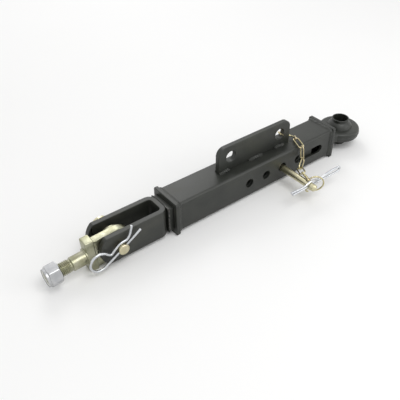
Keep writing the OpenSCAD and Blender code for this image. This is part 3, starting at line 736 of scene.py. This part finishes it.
WIRE = 2.3
TOUCH = WIRE + 0.2
RING_R = 13.0
RING_SIDE = np.array([np.cos(np.radians(37.6)), -np.sin(np.radians(37.6)), 0])
RING_SAG = RING_R - np.sqrt(RING_R ** 2 - 5.5 ** 2)
RING_CENTRE = RING_HOLE + (RING_R - RING_SAG / 2) * RING_SIDE


def on_ring(degrees):
    """Points of the pull ring's centre line at angles in degrees."""
    a = np.radians(np.asarray(degrees, float))[..., None]
    return RING_CENTRE + RING_R * (np.cos(a) * RING_SIDE + np.sin(a) * np.array([0, 0, 1.0]))


def pull_ring():
    """Ring wire: once round from below the pin and up through it, then a small outward curl."""
    start, stop = 214, -129
    turn = on_ring(start - (start - stop) * np.arange(121) / 120)
    out = unit(on_ring(stop) - RING_CENTRE)
    onward = unit(on_ring(stop - 2) - on_ring(stop + 2))
    curl_r = 2.7
    centre = on_ring(stop) + curl_r * out
    a = np.radians(28 * np.linspace(0.33, 9, 27))[:, None]
    curl = centre + curl_r * (-np.cos(a) * out + np.sin(a) * onward)
    return wire(np.concatenate([turn, curl]), WIRE, np.cross(RING_SIDE, [0, 0, 1]))


piece = mesh_piece("pull_ring_wire", *pull_ring(), "ring", "yellow_zinc", yellow_wire)
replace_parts(smooth_by_angle(piece, 60), "pull_ring")

LINK_L, LINK_W = 26.0, 11.0
LINK_PITCH = LINK_L - WIRE
LINK_TURN = (LINK_W - WIRE) / 2
SWIVEL_AT = 144.1
HOOK_HOLE = np.array([BRACKET_END - 22.5, 0, 47.5])
HOOK_END = np.array([BRACKET_END + 9.4, -8.8, 29.6])


def chain_frames():
    """Start, pull and width of each link: the end wire of each crosses that of the one before,
    one wire and a hair away."""
    pulls = unit([[-5.69, -18.94, -3.01], [0.11, -2.9, -19.79],
                  [-16.89, -10.0, -3.82], [-10.36, -16.42, 4.82]])
    level = unit(np.cross(pulls[0], [0, 0, 1]))
    roll = np.radians(0.8)
    across = np.cos(roll) * level + np.sin(roll) * np.cross(pulls[0], level)
    start, frames = HOOK_END, [(HOOK_END, pulls[0], across)]
    for before, pull in zip(pulls, pulls[1:]):
        wider = unit(np.cross(pull, across))
        step = unit(np.cross(across, wider))
        step = step * (1 if step @ (before + pull) > 0 else -1)
        start = start + LINK_PITCH * before - TOUCH * step
        across = wider
        frames.append((start, pull, across))
    return frames


def chain_link(start, pull, across):
    """Oval link: two half rounds joined by straights."""
    run = LINK_PITCH / 2 - LINK_TURN
    right, left = arc([run, 0], LINK_TURN, -90, 90, 26), arc([-run, 0], LINK_TURN, 90, 270, 26)
    t = np.linspace(0, 1, 8, endpoint=False)[1:, None]
    flat = np.concatenate([right, right[-1] + (left[0] - right[-1]) * t,
                           left, left[-1] + (right[0] - left[-1]) * t])
    return wire(on_plane(flat, start + pull * LINK_PITCH / 2, pull, across), WIRE,
                np.cross(pull, across), closed=True)


links = chain_frames()
for number, link in enumerate(links, 1):
    body = ("tube", "chain_upper", "chain_upper", "chain_lower")[number - 1]
    node = f"chain_link_{number}"
    piece = mesh_piece(node + "_wire", *chain_link(*link), body, "yellow_zinc", yellow_wire)
    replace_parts(smooth_by_angle(piece, 60), node)


def swivel():
    """Swivel: an eye at each end and a turned barrel between them."""
    start, pull, across = links[3]
    near, far = start + LINK_PITCH * pull, on_ring(SWIVEL_AT)
    t = unit(far - near)
    eye_r = 2.8
    room = eye_r - WIRE - 0.2
    first, second = near + room * t, far - room * t
    shells = []
    along_ring = unit(on_ring(SWIVEL_AT + 2) - on_ring(SWIVEL_AT - 2))
    a = np.radians(np.arange(0, 360, 8))[:, None]
    for centre, through in ((first, across), (second, along_ring)):
        side = unit(np.cross(through, t))
        circle = centre + eye_r * (np.cos(a) * t + np.sin(a) * side)
        shells.append(wire(circle, WIRE, np.cross(t, side), closed=True))
    length = np.linalg.norm(second - first)
    x = np.array([3.0, 3.1, 3.4, 4.0, 4.4, 4.6])
    waist = length / 2 + np.array([-0.7, -0.5, 0.5, 0.7])
    stations = np.maximum.accumulate(np.concatenate([x, waist, length - x[::-1]]))
    half = [1.2, 1.6, 1.9, 2.15, 2.2, 2.2, 2.2, 1.95]
    radius = np.array(half + half[::-1])
    shells.append(turned(stations, radius, first, t, across, 32))
    return joined(shells)


piece = mesh_piece("chain_swivel_body", *swivel(), "chain_lower", "yellow_zinc", yellow_wire)
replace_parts(smooth_by_angle(piece, 50), "chain_swivel")


def hook():
    """Hook wire: hangs in the bracket's hole, runs behind the bracket and ends in an eye that
    holds the first link."""
    pull, across = links[0][1], links[0][2]
    hang = np.array([np.cos(np.radians(30)), 0, -0.5])
    seat = HOOK_HOLE + (BRACKET_HOLE_R - WIRE / 2 - 0.1) * hang
    clear = BRACKET_HALF + WIRE / 2 + 0.2
    eye_r = 2.9
    centre = HOOK_END - (eye_r - TOUCH) * pull
    up = np.cross(across, pull)
    level = HOOK_END[2]
    route = [HOOK_HOLE + [-4, -clear - 3.6, 4], HOOK_HOLE + [2.5, -clear - 1.6, 0],
             seat + [-0.5, -clear, 0.3], seat, seat + [0, clear, 0], seat + [4, clear + 1.4, -1.9],
             [BRACKET_END - 4, clear + 1, level + 5.8], [BRACKET_END + 3, clear - 0.4, level + 2.4],
             [BRACKET_END + 8.6, 0.6, level + 0.8], centre - eye_r * pull]
    a = np.radians(np.arange(7, 316, 7))[:, None]
    eye = centre + eye_r * (-np.cos(a) * pull + np.sin(a) * up)
    return wire(np.concatenate([smooth(route, 12), eye]), WIRE, across)


piece = mesh_piece("chain_hook_wire", *hook(), "tube", "yellow_zinc", yellow_wire)
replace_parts(smooth_by_angle(piece, 60), "chain_hook")


# Floor, light and camera

def pale_floor():
    """A flat sheet under the part, of a pale matt colour with the faintest mottling."""
    mesh = bpy.data.meshes.new("floor")
    half, level = 6.0, -0.0281
    corners = [(x * half, y * half, level) for x, y in ((-1, -1), (1, -1), (1, 1), (-1, 1))]
    mesh.from_pydata(corners, [], [(0, 1, 2, 3)])
    floor = bpy.data.objects.new("floor", mesh)
    bpy.context.scene.collection.objects.link(floor)
    f = Finish("pale_floor")
    pale = f.mixed(f.noise(3, 2, 0.5), (0.93, 0.93, 0.925), (0.95, 0.95, 0.945))
    f.set(Base_Color=pale, Roughness=0.9, Specular_IOR_Level=0.1)
    mesh.materials.append(f.material)


pale_floor()

world = bpy.data.worlds.new("studio")
bpy.context.scene.world = world
world.use_nodes = True
tree = world.node_tree
lit = tree.nodes["Background"]
lit.inputs["Color"].default_value = (1, 1, 1, 1)
lit.inputs["Strength"].default_value = 0.62
seen = tree.nodes.new("ShaderNodeBackground")
seen.inputs["Color"].default_value = (1, 1, 1, 1)
seen.inputs["Strength"].default_value = 1.0
rays = tree.nodes.new("ShaderNodeLightPath")
both = tree.nodes.new("ShaderNodeMixShader")
seen_rays = rays.outputs["Is Camera Ray"]
for name in ("Is Glossy Ray", "Is Transmission Ray"):
    total = tree.nodes.new("ShaderNodeMath")
    total.operation = "MAXIMUM"
    tree.links.new(seen_rays, total.inputs[0])
    tree.links.new(rays.outputs[name], total.inputs[1])
    seen_rays = total.outputs[0]
tree.links.new(seen_rays, both.inputs[0])
tree.links.new(lit.outputs[0], both.inputs[1])
tree.links.new(seen.outputs[0], both.inputs[2])
tree.links.new(both.outputs[0], tree.nodes["World Output"].inputs[0])

MIDDLE = (-0.3, 0, 0)


def soft_lamp(name, place, size, power):
    """A square soft light that faces the part's middle."""
    lamp = bpy.data.lights.new(name, "AREA")
    lamp.shape, lamp.size, lamp.energy = "SQUARE", size, power
    holder = bpy.data.objects.new(name, lamp)
    holder.location = place
    holder.rotation_euler = (Vector(MIDDLE) - Vector(place)).to_track_quat("-Z", "Y").to_euler()
    bpy.context.scene.collection.objects.link(holder)


soft_lamp("key", (-0.2, -0.9, 1.8), 1.1, 13.5)
soft_lamp("fill", (0.9, -1.6, 0.9), 1.2, 7)
soft_lamp("rim", (0.3, 1.5, 1.3), 0.9, 8)

AZIMUTH, ELEVATION, ROLL = np.radians([-37.50, 39.01, -0.46])
DISTANCE = 0.8166
TARGET = Vector((-0.31032, 0, -0.01011))
right = Vector((np.cos(AZIMUTH), np.sin(AZIMUTH), 0))
back = Vector((np.sin(AZIMUTH) * np.cos(ELEVATION), -np.cos(AZIMUTH) * np.cos(ELEVATION),
               np.sin(ELEVATION)))
above = back.cross(right)
axes = (right * np.cos(ROLL) + above * np.sin(ROLL),
        above * np.cos(ROLL) - right * np.sin(ROLL), back)
camera_data = bpy.data.cameras.new("camera")
camera_data.lens, camera_data.sensor_width, camera_data.clip_start = 48.78, 36.0, 0.01
camera = bpy.data.objects.new("camera", camera_data)
camera.matrix_world = Matrix.Translation(TARGET + back * DISTANCE) @ Matrix(axes).transposed().to_4x4()
bpy.context.scene.collection.objects.link(camera)
bpy.context.scene.camera = camera
bpy.context.scene.view_settings.view_transform = "Standard"
